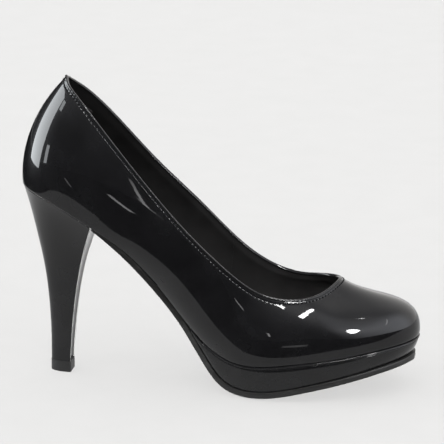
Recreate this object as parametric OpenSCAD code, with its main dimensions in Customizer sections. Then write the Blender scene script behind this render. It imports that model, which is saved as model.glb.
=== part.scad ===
// High heel pump with a covered platform and a tall covered heel.
// Frame: +X toe, +Z up, -Y the outer (lateral) side; floor at z = 0.
// Sizes are millimetres, for a right shoe of about EU 38-39.

/* [Upper] */
// Thickness of the patent outer material
upper_thick = 1.2; // [0.9:0.1:1.3]
// Width of the lasting margin folded under the insole
margin_width = 10; // [8:1:11]
// Thickness of the lining
lining_thick = 0.7; // [0.5:0.1:0.8]
// Thickness of the counter and toe puff stiffeners
stiffener_thick = 0.5; // [0.3:0.1:0.6]

/* [Topline] */
// Thickness of the binding strip
binding_thick = 0.5; // [0.4:0.1:0.6]
// Drop of the binding on the outer side
binding_drop = 1.4; // [1:0.1:1.8]
// Distance of the stitch row below the edge
stitch_drop = 3; // [2.6:0.2:4]

/* [Footbed] */
// Thickness of the insole board
board_thick = 2; // [1.8:0.1:2.2]
// Thickness of the sock liner
sock_thick = 1; // [0.6:0.1:1.2]
// Thickness of the foam cushions under the sock
cushion_thick = 1.6; // [1:0.1:1.8]

/* [Platform and outsole] */
// Thickness of the outsole
outsole_thick = 3.2; // [2.6:0.1:3.2]
// Thickness of the platform wrap
wrap_thick = 0.8; // [0.6:0.1:1]
// Thickness of the rand between upper and platform
rand_thick = 1.3; // [1:0.1:1.5]

/* [Heel] */
// Thickness of the heel covering
heel_skin = 0.8; // [0.6:0.1:1]
// Thickness of the replaceable tip
tip_thick = 6; // [5:0.5:7]
// Diameter of the tip pin
pin_d = 3; // [2.6:0.1:3.2]
// Outside diameter of the reinforcing tube
tube_d = 5; // [4.6:0.1:5.4]

/* [Hidden] */
$fn = 32;
// Centre of the overall box, so that the origin lies under it
mid = [108.8, -0.6, 0];
// Heights along the shoe start at x = -40
first = -40;
// Height of the upper's lower edge every 20 mm
bed = [110.5, 109.5, 107.5, 101.8, 90.2, 75.6, 53, 30.5, 20.2, 20, 22.8, 25, 28, 30, 31.5, 33];
// Height of the outsole's lower edge every 10 mm
tread = [112, 110, 108, 106, 104, 102.5, 100.4, 96, 89.2, 80.8, 71, 59.7, 47.6, 34.5, 19.6, 7, 1.9, 0.9,
    1.6, 3.3, 5.5, 7.7, 9.9, 12.1, 14.3, 16.2, 17.8, 19.3, 20.8, 22.4, 24];
// Convexity of the tread across the shoe
crown = 0.9;

// Lower edge in plan: back, lateral side, toe, medial side
feather = [
    [-1, 0], [4, -13], [17, -22.5], [40, -25], [64, -21.5], [85.5, -20], [106, -27], [127, -36],
    [150, -38.5], [175, -34.5], [196, -26], [212, -14], [218.5, 1], [213.5, 15.5], [200, 27],
    [180, 34.5], [156, 37], [131, 30], [108, 19], [87, 15], [64, 19], [40, 24.5], [17, 22.5], [4, 13]];
// Topline in space, same order
topline = [
    [24.5, 0, 168.5], [27, -6.5, 165], [36, -14.5, 157], [51.5, -21, 140], [71.5, -25.5, 117],
    [93, -28.5, 93.5], [113.5, -30.5, 74.5], [132, -31, 61], [147.5, -29.5, 56.5], [158.5, -25, 56],
    [166, -17.5, 57], [171, -9, 59], [174, 0.5, 60.5], [172.5, 10, 59], [168.5, 18, 57],
    [159.5, 25, 55], [147, 29, 54.5], [130, 30, 60.5], [112, 28.5, 74.5], [93, 26.5, 94],
    [70, 24.5, 116.5], [50, 20.5, 139.5], [35, 14.5, 156.5], [27, 6.5, 165]];
// Swell of the walls: out and up from the lower edge, out and down from the topline
swell = [
    [1.5, 17, 20.5, 20], [1.5, 17, 17, 18], [3, 17, 12, 18], [5.5, 16, 7, 16], [9, 15, 5, 14],
    [8, 14, 4, 14], [6, 14, 4, 15], [5, 13, 6, 13], [4, 13, 8, 9], [4, 14, 14, 8.5],
    [3.5, 18.5, 16, 12], [3, 24, 17.5, 14], [3, 25, 20, 12.5]];
count = len(feather);
toe = count / 2;

// Heel profile every 20 mm of height from z = -20: back, front and half width
heel_back = [12.6, 13, 13.2, 12.4, 10.2, 6.2, 0.4, -6.5];
heel_front = [24, 24.4, 25.7, 27.9, 31.4, 37, 45.5, 57];
heel_half = [5.2, 5.5, 6.2, 7.4, 9.6, 16, 25, 36];
// Hollow of the heel breast across its width
breast_hollow = 0.8;

// Inset of the sole edge and of the platform foot from the lower edge, by station
sole_inset = [0.8, 0.8, 0.8, 0.8, 0.8, 0.9, 1.3, 1.6, 1.6, 1.6, 1.7, 1.9, 2.1];
foot_inset = [1, 1, 1, 1, 1, 1.2, 2.1, 2.5, 2.5, 2.6, 2.9, 3.4, 3.9];

gap = 0.1;
board_low = upper_thick + gap;
board_top = board_low + board_thick;
lining_out = upper_thick + stiffener_thick + 0.15;
lining_in = lining_out + lining_thick;
wall_foot = 0.14;
bulge = [for (w = swell) w[0]];

// Spline helpers
function pick(p, i, ring) = ring ? p[(i + 2 * len(p)) % len(p)] : p[max(0, min(len(p) - 1, i))];
function relax(q, p, ring, k) = k == 0 ? p :
    let (better = [for (i = [0:len(q) - 1]) (6 * q[i] - pick(p, i - 1, ring) - pick(p, i + 1, ring)) / 4])
    relax(q, better, ring, k - 1);
function through(q, ring) = relax(q, q, ring, 18);
function blend(p, s, ring) =
    let (i = floor(s), u = s - i)
    (pow(1 - u, 3) * pick(p, i - 1, ring) + (3 * u * u * u - 6 * u * u + 4) * pick(p, i, ring)
    + (3 * u + 3 * u * u - 3 * u * u * u + 1) * pick(p, i + 1, ring) + u * u * u * pick(p, i + 2, ring)) / 6;
function soft(x, a, b) = let (u = max(0, min(1, (x - a) / (b - a)))) u * u * (3 - 2 * u);
function mix(a, b, u) = a + (b - a) * u;
function folded(s) = let (k = (s + 2 * count) % count) k > toe ? count - k : k;
function by_station(v, s) = let (k = folded(s), i = min(floor(k), len(v) - 2)) mix(v[i], v[i + 1], k - i);

// Heights along the shoe
bed_p = through(bed, false);
tread_p = through(tread, false);
function bed_z(x) = blend(bed_p, (x - first) / 20, false);
function tread_z(x) = blend(tread_p, (x - first) / 10, false);
function over_bed(x, h) = bed_z(x) + h * sqrt(1 + pow(bed_z(x + 0.5) - bed_z(x - 0.5), 2));
function over_tread(x, h) = tread_z(x) + h * sqrt(1 + pow(tread_z(x + 0.5) - tread_z(x - 0.5), 2));
function rand_at(x) = rand_thick * soft(x, 94, 114);

// Plan outline inset by d from the lower edge
edge_p = through([for (p = feather) [p[0], p[1], bed_z(p[0])]], true);
function edge(s) = blend(edge_p, s, true);
function out_dir(s) = let (t = edge(s + 0.05) - edge(s - 0.05)) [t[1], -t[0]] / norm([t[0], t[1]]);
function plan(s, d) = let (e = edge(s), n = out_dir(s)) [e[0] - n[0] * d, e[1] - n[1] * d];

// Wall surface from lower edge (t = 0) to topline (t = 1), offset outwards by h.
// Layers are skived to half their thickness at the topline.
function loop_dir(q, i) =
    let (t = pick(q, i + 1, true) - pick(q, i - 1, true)) [t[1], -t[0], 0] / norm([t[0], t[1]]);
function swollen(q, out, up) =
    through([for (i = [0:count - 1]) let (w = swell[folded(i)])
        q[i] + loop_dir(q, i) * out(w) + [0, 0, up(w)]], true);
low_q = [for (p = feather) [p[0], p[1], bed_z(p[0])]];
rows = [
    edge_p,
    swollen(low_q, function (w) w[0], function (w) w[1]),
    swollen(topline, function (w) w[2], function (w) -w[3]),
    through(topline, true)];
function wall0(s, t) = let (r = [for (p = rows) blend(p, s, true)], v = 1 - t)
    v * v * v * r[0] + 3 * v * v * t * r[1] + 3 * v * t * t * r[2] + t * t * t * r[3];
function skive(t) = 1 - 0.5 * soft(t, 0.86, 0.99);
// Heights where every layer that reaches the topline has a row
skive_rows = [0.86, 0.9, 0.945];
function wall(s, t, h) =
    let (c = cross(wall0(s + 0.04, t) - wall0(s - 0.04, t), wall0(s, t + 0.01) - wall0(s, t - 0.01)))
    wall0(s, t) + c * ((h < 0 ? h * skive(t) : h) / norm(c));
function at_drop(s, w) = 1 - w / (norm(wall0(s, 1) - wall0(s, 0.95)) / 0.05);

// Closed solid between two grids of points
module slab(a, b, ring = false, flip = false) {
    n = len(a);
    m = len(a[0]);
    ga = function (i, j) ((i % n) * m + j);
    gb = function (i, j) (n * m + (i % n) * m + j);
    last = ring ? n - 1 : n - 2;
    quads = concat(
        [for (i = [0:last], j = [0:m - 2]) [ga(i, j), ga(i + 1, j), ga(i + 1, j + 1), ga(i, j + 1)]],
        [for (i = [0:last], j = [0:m - 2]) [gb(i, j), gb(i, j + 1), gb(i + 1, j + 1), gb(i + 1, j)]],
        [for (i = [0:last]) [gb(i, 0), gb(i + 1, 0), ga(i + 1, 0), ga(i, 0)]],
        [for (i = [0:last]) [ga(i, m - 1), ga(i + 1, m - 1), gb(i + 1, m - 1), gb(i, m - 1)]],
        ring ? [] : [for (j = [0:m - 2]) [ga(0, j), ga(0, j + 1), gb(0, j + 1), gb(0, j)]],
        ring ? [] : [for (j = [0:m - 2]) [ga(n - 1, j + 1), ga(n - 1, j), gb(n - 1, j), gb(n - 1, j + 1)]]);
    faces = [for (q = quads) each [[q[0], q[1], q[2]], [q[0], q[2], q[3]]]];
    translate(-mid) polyhedron(
        points = concat([for (r = a) each r], [for (r = b) each r]),
        faces = flip ? faces : [for (f = faces) [f[2], f[1], f[0]]]);
}

function span(a, b, n) = [for (i = [0:n]) a + (b - a) * i / n];

// Shell between two depths of the wall, from station s0 to s1, with a row at each height
module shell(s0, s1, n, heights, h0, h1) {
    slab([for (s = span(s0, s1, n)) [for (t = heights) wall(s, t, -h0)]],
         [for (s = span(s0, s1, n)) [for (t = heights) wall(s, t, -h1)]]);
}

// Flat-laid plate between two height functions of x, laid across the shoe
module plate(stations, m, inset, low, high, sag = 0) {
    grid = function (f, c) [for (s = stations) let (a = plan(s, inset(s)), b = plan(count - s, inset(s)))
        [for (j = [0:m]) let (p = mix(a, b, j / m), v = 2 * j / m - 1)
            [p[0], p[1], f(p[0]) - c * (1 - pow(max(0, 2 * abs(v) - 1), 2)) * soft(p[0], 100, 125)]]];
    slab(grid(high, 0), grid(low, sag));
}

full = [0.1, 0.3, 0.6, 1, 1.5, 2, 2.5, 3, 3.5, 4, 4.4, 4.8, 5.1, 5.35, 5.6, 5.8, 6, 6.2, 6.4, 6.6, 6.8, 7,
    7.3, 7.6, 8, 8.5, 9, 9.5, 10, 10.5, 11, 11.4, 11.7, 11.9];
function between(a, b) = [for (s = full) if (s >= a && s <= b) s];

module at(x, y, z) { translate([x, y, z] - mid) children(); }

// Where the heel is fastened: screw, then nails
screw_at = [24, 0];
nail_at = [[12, -9], [12, 9], [32, -10], [32, 10]];
rivet_x = [56, 100];
tip_x = 19;

// Patent outer with its lasting margin folded under
module upper() {
    heights = concat(span(0.1, 0.8, 9), skive_rows, [1]);
    st = span(0, count - 0.4, 59);
    color("black") slab(
        [for (s = st) concat([foot(s, margin_width, 0), wall(s, 0, 0)], [for (t = heights) wall(s, t, 0)])],
        [for (s = st) concat([foot(s, margin_width, upper_thick), foot(s, upper_thick, upper_thick)],
            [for (t = heights) wall(s, t, -upper_thick)])], ring = true);
}
function foot(s, d, h) = let (p = plan(s, d)) [p[0], p[1], over_bed(p[0], h)];

// Folded strip that covers the raw edge of the opening
module topline_binding() {
    out = 0.05;
    far = lining_in + 0.05;
    drops = [binding_drop, 0.7, 0, 0, 0.9, 1.7, 2.6];
    outer = [out + binding_thick, out + binding_thick, out + binding_thick * 0.4, -far - binding_thick * 0.4,
        -far - binding_thick, -far - binding_thick, -far - binding_thick];
    inner = [out, out, out, -far, -far, -far, -far];
    lift = [0, 0, 0.45, 0.45, 0, 0, 0];
    ring = [for (i = [0:79]) i * count / 80];
    color("black") slab(
        [for (s = ring) [for (j = [0:6]) wall(s, at_drop(s, drops[j] - lift[j]), outer[j])]],
        [for (s = ring) [for (j = [0:6]) wall(s, at_drop(s, drops[j] - (lift[j] > 0 ? 0.05 : 0)), inner[j])]],
        ring = true);
}

// Row of thread below the binding, drawn as one continuous run of raised stitches
module topline_stitching() {
    n = 160;
    ring = [for (i = [0:n - 1]) i * count / n];
    high = function (i) (i % 2 == 0 ? 0.5 : 0.25);
    line = function (i, w, h) wall(ring[i], at_drop(ring[i], stitch_drop + w), h);
    color("dimgray") slab(
        [for (i = [0:n - 1]) [for (w = [0.25, -0.25]) line(i, w, high(i))]],
        [for (i = [0:n - 1]) [for (w = [0.25, -0.25]) line(i, w, 0.05)]], ring = true);
}

lining_rows = concat(span(wall_foot, 0.8, 7), skive_rows, [0.995]);

// Lining of the forepart
module vamp_lining() {
    color("#1c1c1c") shell(6.01, count - 6.01, 36, lining_rows, lining_out, lining_in);
}

// Lining of the rear half, in one piece round the back
module quarter_lining() {
    color("#202020") shell(-5.99, 5.99, 36, lining_rows, lining_out, lining_in);
}

// Suede grip pad at the back of the heel
module heel_grip() {
    color("#2a2a2a") shell(-2.2, 2.2, 16, span(0.2, 0.84, 7), lining_in + 0.05, lining_in + 0.55);
}

// Moulded stiffener between upper and quarter lining
module heel_counter() {
    color("tan") shell(-3.4, 3.4, 22, span(wall_foot, 0.82, 8), upper_thick + 0.05,
        upper_thick + 0.05 + stiffener_thick);
}

// Stiffener that holds the toe shape
module toe_puff() {
    color("tan") shell(9.2, 14.8, 18, span(wall_foot, 0.62, 7), upper_thick + 0.05,
        upper_thick + 0.05 + stiffener_thick);
}

// Non-stretch tape along the edge of the opening
module topline_tape() {
    ring = [for (i = [0:59]) i * count / 60];
    color("white") slab(
        [for (s = ring) [for (w = [6, 3.5, 1]) wall(s, at_drop(s, w), -upper_thick - 0.1)]],
        [for (s = ring) [for (w = [6, 3.5, 1]) wall(s, at_drop(s, w), -upper_thick - 0.4)]], ring = true);
}

// Board the upper is lasted to
module insole_board() {
    color("burlywood") difference() {
        plate(full, 3, function (s) upper_thick + gap, function (x) over_bed(x, board_low),
            function (x) over_bed(x, board_top));
        for (p = concat([screw_at], nail_at)) {
            r = p == screw_at ? 2.1 : 0.9;
            head = p == screw_at ? 4.3 : 2.2;
            at(p[0], p[1], bed_z(p[0]) - 5) cylinder(r = r, h = 20);
            at(p[0], p[1], over_bed(p[0], board_top) - 1) cylinder(r = head, h = 5);
        }
        for (x = rivet_x) square_to_bed(x) cylinder(r = 1.6, h = 12, center = true);
    }
}
module square_to_bed(x) {
    at(x, 0, bed_z(x)) rotate([0, -atan(bed_z(x + 0.5) - bed_z(x - 0.5)), 0]) children();
}

// Spring steel strip that carries the arch
module shank() {
    xs = span(17, 113, 24);
    half = function (x) 6 - 2.5 * soft(x, 100, 113) - 1.5 * (1 - soft(x, 17, 22));
    color("silver") difference() {
        slab([for (x = xs) [for (v = [-1, 0, 1]) [x, v * half(x), over_bed(x, upper_thick)]]],
             [for (x = xs) [for (v = [-1, 0, 1]) [x, v * half(x), over_bed(x, -0.1)]]]);
        at(screw_at[0], screw_at[1], 90) cylinder(r = 2.1, h = 30);
        for (x = rivet_x) square_to_bed(x) cylinder(r = 1.6, h = 12, center = true);
    }
}

// Two rivets that clamp the shank to the board
module shank_rivets() {
    color("gray") for (x = rivet_x) square_to_bed(x) {
        translate([0, 0, -0.1]) cylinder(r = 1.5, h = board_top + 0.3);
        translate([0, 0, board_top + 0.05]) cylinder(r = 2.6, h = 0.5);
    }
}

// Visible covering of the footbed
module sock_liner() {
    lift = board_top + gap + cushion_thick + gap;
    color("#262626") plate(full, 6, function (s) lining_in + 0.35 - 0.3 * by_station(bulge, s),
        function (x) over_bed(x, lift), function (x) over_bed(x, lift + sock_thick));
}

// Foam under the ball of the foot
module ball_cushion() {
    color("khaki") plate(between(6.5, 11.7), 4, function (s) 5.5, function (x) over_bed(x, board_top + gap),
        function (x) over_bed(x, board_top + gap + cushion_thick));
}

// Foam under the heel of the foot
module heel_cushion() {
    color("khaki") plate(between(0.3, 3.5), 4, function (s) 5.5, function (x) over_bed(x, board_top + gap),
        function (x) over_bed(x, board_top + gap + cushion_thick));
}

// Filler that levels the space inside the margin
module bottom_filler() {
    color("peru") plate(between(7, 11.7), 3, function (s) margin_width + 0.5, function (x) over_bed(x, 0),
        function (x) over_bed(x, upper_thick));
}

// Narrow strip trapped between upper and platform
module platform_rand() {
    st = span(5.9, count - 5.9, 60);
    depth = function (s, d, share) let (x = plan(s, d)[0]) ledge(s, d, 0.1 + share * (rand_at(x) - 0.05));
    color("black") slab(
        [for (s = st) [depth(s, 8, 0), depth(s, 0.6, 0), depth(s, -0.15, 0.3)]],
        [for (s = st) [depth(s, 8, 1), depth(s, 0.6, 1), depth(s, -0.15, 0.7)]], flip = true);
}
function ledge(s, d, h) = let (p = plan(s, d)) [p[0], p[1], over_bed(p[0], -h)];

// Light block that lifts the forepart
module platform_core() {
    st = concat([5.75], between(6, 11.9));
    color("ivory") slab(
        [for (s = st) core_row(s, true)],
        [for (s = st) core_row(s, false)]);
}
function core_row(s, top) =
    let (d = wrap_thick + 0.2 + (top ? 0.3 : by_station(foot_inset, s)),
         a = plan(s, d), b = plan(count - s, d),
         height = function (x) top ? over_bed(x, -rand_at(x) - wrap_thick - 0.3)
             : over_tread(x, outsole_thick + wrap_thick + 0.2))
    [for (j = [0:5]) let (p = mix(a, b, j / 5)) [p[0], p[1], height(p[0])]];

// Wrap round the platform edge, turned in above and below the core
module platform_cover() {
    st = span(5.5, count - 5.5, 60);
    color("black") slab([for (s = st) wrap_row(s, 0)], [for (s = st) wrap_row(s, wrap_thick)]);
}
function wrap_row(s, c) =
    let (k = by_station(foot_inset, s),
         lo = function (d) let (p = plan(s, d)) [p[0], p[1], over_tread(p[0], outsole_thick + gap + c)],
         hi = function (d) let (p = plan(s, d)) [p[0], p[1], over_bed(p[0], -rand_at(p[0]) - 0.15 - c)],
         side = function (u) let (a = lo(k + c), b = hi(0.3 + c), bow = 0.5 * sin(180 * u), n = out_dir(s))
             mix(a, b, u) - [n[0], n[1], 0] * bow)
    [lo(k + 7), lo(k + c), side(0.25), side(0.5), side(0.75), hi(0.3 + c), hi(7)];

// Outsole from the heel breast to the toe
module outsole() {
    st = concat([3.12], between(3.5, 11.9));
    color("#303030") plate(st, 8, function (s) by_station(sole_inset, s), function (x) tread_z(x),
        function (x) min(over_bed(x, -0.3), over_tread(x, outsole_thick)), crown);
}

// Heel surface: u from -1 (lateral corner) through the back to 1, v from seat to tip, inset c
hb = through(heel_back, false);
hf = through(heel_front, false);
hw = through(heel_half, false);
function prof(p, z) = blend(p, (z + 20) / 20, false);
function d_shape(u, z, c) =
    [prof(hf, z) - (prof(hf, z) - prof(hb, z) - c) * cos(90 * u), (prof(hw, z) - c) * sin(90 * u)];
seat_end = 3.04;
function seat_at(u, c) =
    let (s = -u * seat_end, p = plan((s + count) % count, c)) [p[0], p[1], over_bed(p[0], -0.15)];
function heel_pt(u, v, c) =
    let (t = seat_at(u, c), z = mix(t[2], tip_thick + 0.1, v), q = d_shape(u, t[2], c), r = d_shape(u, z, c),
         k = pow(max(0, 1 - v / 0.35), 2))
    [r[0] + (t[0] - q[0]) * k, r[1] + (t[1] - q[1]) * k, z];
function breast_pt(w, v, c, e) =
    let (a = heel_pt(-1, v, e), b = heel_pt(1, v, e), p = mix(a, b, (w + 1) / 2))
    [p[0] - c - breast_hollow * (1 - w * w), p[1], p[2]];
levels = [0, 0.03, 0.07, 0.12, 0.18, 0.25, 0.33, 0.42, 0.52, 0.64, 0.76, 0.88, 1];
turns = [for (i = [-8:8]) i / 8];

// Moulded heel body, bored for the tube and the fasteners
module heel_block() {
    c = heel_skin + 0.1;
    color("whitesmoke") difference() {
        slab([for (v = levels) [for (u = turns) heel_pt(u, v, c)]],
             [for (v = levels) [for (u = turns) breast_pt(u * 0.97, v, c, c)]], flip = true);
        at(tip_x, 0, 0) cylinder(d = tube_d + 0.1, h = 68);
        at(screw_at[0], screw_at[1], 77) cylinder(r = 2.05, h = 40);
        for (p = nail_at) at(p[0], p[1], bed_z(p[0]) - 16) cylinder(r = 0.85, h = 30);
    }
}

// Covering wrapped round the heel and turned onto the breast
module heel_cover() {
    row = function (v, c) concat(
        [for (w = [-0.55, -0.78]) breast_pt(w, v, c, 0)],
        [for (u = turns) heel_pt(u, v, c) - (abs(u) == 1 ? [c, 0, 0] : [0, 0, 0])],
        [for (w = [0.78, 0.55]) breast_pt(w, v, c, 0)]);
    color("black") slab([for (v = levels) row(v, 0)], [for (v = levels) row(v, heel_skin)], flip = true);
}

// Strip that closes the breast between the turned edges
module heel_breast_cover() {
    row = function (v, c) [for (w = [-0.52, -0.26, 0, 0.26, 0.52]) breast_pt(w, v, c, 0)];
    color("black") slab([for (v = levels) row(v, heel_skin)], [for (v = levels) row(v, 0)], flip = true);
}

// Steel tube that stiffens the slim part of the heel
module heel_tube() {
    color("silver") at(tip_x, 0, tip_thick + 0.1) difference() {
        cylinder(d = tube_d, h = 60);
        translate([0, 0, -1]) cylinder(d = pin_d + 0.1, h = 62);
    }
}

// Replaceable wear tip
module heel_tip() {
    q = [for (u = turns) d_shape(u, tip_thick, -0.15)];
    color("#222222") difference() {
        translate(-mid) linear_extrude(height = tip_thick)
            polygon(concat(q, [[q[0][0] + 0.4, 4.8], [q[0][0] + 0.4, -4.8]]));
        at(tip_x, 0, 2) cylinder(d = pin_d + 0.1, h = 10);
        at(tip_x, 0, 2) cylinder(d = 6.1, h = 1.6);
    }
}

// Pin that holds the tip in the tube
module heel_tip_pin() {
    color("gray") at(tip_x, 0, 2.02) {
        cylinder(d = pin_d, h = 24);
        cylinder(d = 6, h = 1.5);
    }
}

// Screw from the insole into the heel
module heel_screw() {
    z = over_bed(screw_at[0], board_top) - 0.95;
    color("gold") at(screw_at[0], screw_at[1], z) {
        translate([0, 0, -24]) cylinder(r = 2, h = 24.5);
        cylinder(r = 4.2, h = 0.9);
    }
}

// Four nails round the heel seat
module heel_nails() {
    color("gray") for (p = nail_at) at(p[0], p[1], over_bed(p[0], board_top) - 0.95) {
        translate([0, 0, -17]) cylinder(r = 0.8, h = 17.5);
        cylinder(r = 2, h = 0.8);
    }
}

upper();
topline_binding();
topline_stitching();
vamp_lining();
quarter_lining();
heel_grip();
heel_counter();
toe_puff();
topline_tape();
insole_board();
shank();
shank_rivets();
sock_liner();
ball_cushion();
heel_cushion();
bottom_filler();
platform_rand();
platform_core();
platform_cover();
outsole();
heel_block();
heel_cover();
heel_breast_cover();
heel_tube();
heel_tip();
heel_tip_pin();
heel_screw();
heel_nails();
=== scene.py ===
"""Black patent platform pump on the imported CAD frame. Metres in Blender, millimetres in the tables."""
import math

import bmesh
import bpy
import numpy as np
from mathutils import Matrix, Vector


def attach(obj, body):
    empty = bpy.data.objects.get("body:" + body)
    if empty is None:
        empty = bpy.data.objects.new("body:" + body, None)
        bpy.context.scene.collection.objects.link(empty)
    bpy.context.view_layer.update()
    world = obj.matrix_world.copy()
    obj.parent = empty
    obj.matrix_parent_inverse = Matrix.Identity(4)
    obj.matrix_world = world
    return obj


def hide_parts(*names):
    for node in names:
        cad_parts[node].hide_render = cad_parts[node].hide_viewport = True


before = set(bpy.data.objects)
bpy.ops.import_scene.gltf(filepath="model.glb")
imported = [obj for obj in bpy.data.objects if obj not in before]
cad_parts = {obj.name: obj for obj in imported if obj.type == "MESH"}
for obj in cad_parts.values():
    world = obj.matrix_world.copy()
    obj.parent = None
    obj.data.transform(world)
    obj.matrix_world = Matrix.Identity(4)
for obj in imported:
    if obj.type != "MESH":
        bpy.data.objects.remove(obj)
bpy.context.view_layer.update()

# ---------------------------------------------------------------- sizes in millimetres
MM = 0.001
MID = np.array([108.8, -0.6, 0.0])      # centre of the overall box in the tables' frame
COUNT = 24                              # stations round the shoe: 0 back, 12 toe
UPPER = 1.2                             # thicknesses, from here to HEEL_SKIN
LINING = 0.7
STIFFENER = 0.5
BOARD = 2.0
SOCK = 1.0
CUSHION = 1.6
OUTSOLE = 3.2
WRAP = 0.8
RAND = 1.3
HEEL_SKIN = 0.8
GAP = 0.1                               # clearance between pieces that lie on each other
TIP = 6.0                               # height of the heel tip
MARGIN = 10.0                           # width of the upper's fold under the board
CUSHION_INSET = 5.5                     # side edge of the cushions inside the lower edge
STITCH_DROP = 2.9                       # stitch row below the topline
STITCH_PITCH = 2.3
PER_STITCH = 6                          # mesh columns to a stitch in the upper and the binding
LINING_OUT = UPPER + STIFFENER + 0.15   # depths of the lining's two faces
LINING_IN = LINING_OUT + LINING
STIFFENER_OUT = -UPPER - 0.08           # offsets of the stiffeners' two faces
STIFFENER_IN = -UPPER - 0.55
BOARD_TOP = UPPER + GAP + BOARD         # heights above the lower edge
SOCK_LOW = BOARD_TOP + GAP + CUSHION + GAP

# Heights of the upper's lower edge (every 20 mm) and of the tread (every 10 mm), from x = -40
BED = [110.5, 109.5, 107.5, 101.8, 90.2, 75.6, 53, 30.5, 20.2, 20, 22.8, 25, 28, 30, 31.5, 33]
TREAD = [112, 110, 108, 106, 104, 102.5, 100.4, 96, 89.2, 80.8, 71, 59.7, 47.6, 34.5, 19.6, 7, 1.9,
         0.9, 1.6, 3.3, 5.5, 7.7, 9.9, 12.1, 14.3, 16.2, 17.8, 19.3, 20.8, 22.4, 24]
CROWN = 0.9                             # how far the middle of the tread bows down
# Lower edge in plan: back, lateral side, toe, medial side
FEATHER = [
    [-1, 0], [4, -13], [17, -22.5], [40, -25], [64, -21.5], [85.5, -20], [106, -27], [127, -36],
    [150, -38.5], [175, -34.5], [196, -26], [212, -14], [218.5, 1], [213.5, 15.5], [200, 27],
    [180, 34.5], [156, 37], [131, 30], [108, 19], [87, 15], [64, 19], [40, 24.5], [17, 22.5], [4, 13]]
# Topline in space, same order
TOPLINE = [
    [24.5, 0, 168.5], [27, -6.5, 165], [36, -14.5, 157], [51.5, -21, 140], [71.5, -25.5, 117],
    [93, -28.5, 93.5], [113.5, -30.5, 74.5], [132, -31, 61], [147.5, -29.5, 56.5], [158.5, -25, 56],
    [166, -17.5, 57], [171, -9, 59], [174, 0.5, 60.5], [172.5, 10, 59], [168.5, 18, 57],
    [159.5, 25, 55], [147, 29, 54.5], [130, 30, 60.5], [112, 28.5, 74.5], [93, 26.5, 94],
    [70, 24.5, 116.5], [50, 20.5, 139.5], [35, 14.5, 156.5], [27, 6.5, 165]]
# Swell of the walls: out and up from the lower edge, out and down from the topline
SWELL = [
    [1.5, 17, 20.5, 20], [1.5, 17, 17, 18], [3, 17, 12, 18], [5.5, 16, 7, 16], [9, 15, 5, 14],
    [8, 14, 4, 14], [6, 14, 4, 15], [5, 13, 6, 13], [4, 13, 8, 9], [4, 14, 14, 8.5],
    [3.5, 18.5, 16, 12], [3, 24, 17.5, 14], [3, 25, 20, 12.5]]
# Heel profile every 20 mm of height from z = -20
HEEL_BACK = [12.6, 13, 13.2, 12.4, 10.2, 6.2, 0.4, -6.5]
HEEL_FRONT = [24, 24.4, 25.7, 27.9, 31.4, 37, 45.5, 57]
HEEL_HALF = [5.2, 5.5, 6.2, 7.4, 9.6, 16, 25, 36]
SEAT_END = 3.04                         # station where the heel seat meets the breast
SEAT_BLEND = 0.35                       # share of the heel's height that follows the seat's outline
SEAT_GAP = 0.15                         # clearance between the upper and the heel's seat
COVER_TUCK = 0.5                        # how far the covering's top slips under the upper
BREAST_HOLLOW = 0.8
# Edges of the sole and of the platform's foot inside the lower edge, by station from back to toe
SOLE_INSET = [0.8, 0.8, 0.8, 0.8, 0.8, 0.9, 1.3, 1.6, 1.6, 1.6, 1.7, 1.9, 2.1]
FOOT_INSET = [1, 1, 1, 1, 1, 1.2, 2.1, 2.5, 2.5, 2.6, 2.9, 3.4, 3.9]


# ---------------------------------------------------------------- splines
def neighbour(p, step, ring):
    """Each point's neighbour; open rows repeat their end points."""
    i = np.arange(len(p)) + step
    return p[i % len(p)] if ring else p[np.clip(i, 0, len(p) - 1)]


def through(points, ring):
    """Control points of the cubic B-spline that passes through the points, by repeated correction."""
    q = np.array(points, float)
    p = q.copy()
    rounds = 18
    for _ in range(rounds):
        p = (6 * q - neighbour(p, -1, ring) - neighbour(p, 1, ring)) / 4
    return p


def blend(p, s, ring):
    """Point at s on the cubic B-spline with control points p."""
    s = np.asarray(s, float)
    i = np.floor(s).astype(int)
    u = s - i
    if p.ndim > 1:
        u = u[..., None]

    def pick(k):
        return p[(i + k) % len(p)] if ring else p[np.clip(i + k, 0, len(p) - 1)]

    return ((1 - u) ** 3 * pick(-1) + (3 * u ** 3 - 6 * u ** 2 + 4) * pick(0)
            + (3 * u + 3 * u ** 2 - 3 * u ** 3 + 1) * pick(1) + u ** 3 * pick(2)) / 6


def soft(x, a, b):
    """Smooth step from 0 at a to 1 at b."""
    u = np.clip((np.asarray(x, float) - a) / (b - a), 0, 1)
    return u * u * (3 - 2 * u)


def mix(a, b, u):
    """Straight blend from a at u = 0 to b at u = 1."""
    return a + (b - a) * u


def by_station(values, s):
    """Value at station s from a list that runs from back to toe and serves both sides."""
    k = np.asarray(s, float) % COUNT
    k = np.where(k > COUNT / 2, COUNT - k, k)
    return np.interp(k, np.arange(len(values)), values)


BED_P = through(BED, False)
TREAD_P = through(TREAD, False)


def bed_z(x):
    """Height of the upper's lower edge."""
    return blend(BED_P, (np.asarray(x, float) + 40) / 20, False)


def tread_z(x):
    """Height of the tread at the side edge."""
    return blend(TREAD_P, (np.asarray(x, float) + 40) / 10, False)


def raised(f, x, h):
    """Height of a line h above f, measured square to it."""
    return f(x) + h * np.sqrt(1 + (f(x + 0.5) - f(x - 0.5)) ** 2)


def over_bed(x, h):
    return raised(bed_z, x, h)


def over_tread(x, h):
    return raised(tread_z, x, h)


def bed_line(h):
    """Height of a line h above the lower edge, as a function of x."""
    return lambda x: over_bed(x, h)


def steady(value):
    """A function that gives the value everywhere."""
    return lambda x: value + 0 * x


def rand_at(x):
    """Thickness of the rand, which runs out towards the waist."""
    return RAND * soft(x, 94, 114)


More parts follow.
